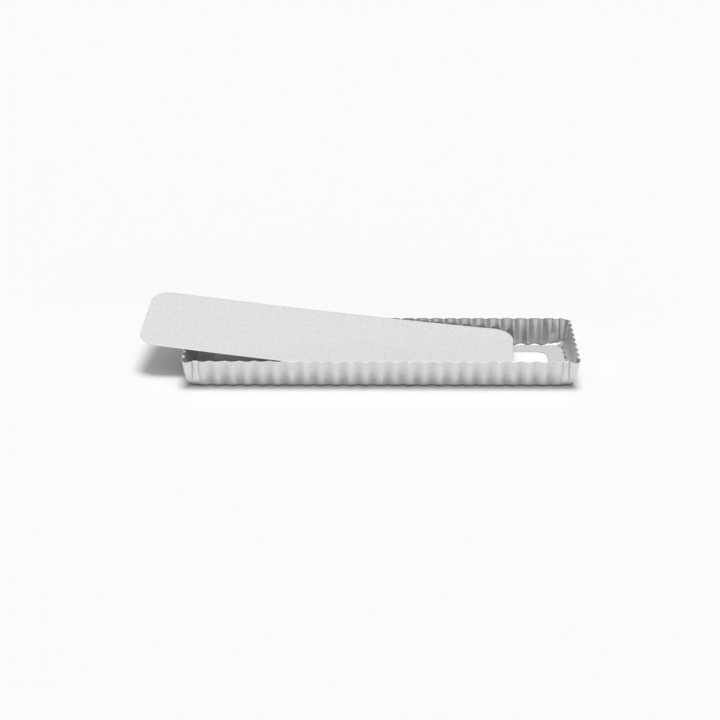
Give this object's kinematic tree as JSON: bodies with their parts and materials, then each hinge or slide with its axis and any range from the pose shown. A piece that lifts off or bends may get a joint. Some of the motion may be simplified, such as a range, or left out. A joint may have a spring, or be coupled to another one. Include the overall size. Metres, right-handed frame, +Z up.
{
  "type": "rectangular tart pan with loose base",
  "caption": "Long rectangular fluted tart tin: a pressed ring with an inner ledge, and a flat loose base leaning on its rim.",
  "frame": {"origin": "middle of the flat underside of the ring, on the surface it stands on", "axes": "+X along the length, with the leaning base's raised end at -X; +Y across the width, towards the long wall that carries the base; +Z up"},
  "size_m": [0.3895, 0.1215, 0.0455],
  "materials": {
    "tinplate": "bright rolled tinplate, pressed into flutes, with fine draw lines",
    "base_sheet": "matt silver-grey, fine even grain"
  },
  "bodies": {
    "ring": {"fluted_ring": "tinplate"},
    "base": {"loose_base": "base_sheet"}
  },
  "joints": [
    {"name": "base_lift", "type": "slide", "parent": "ring", "child": "base", "axis": [0, 0, 1], "range_m": [0, 0.08]}
  ]
}
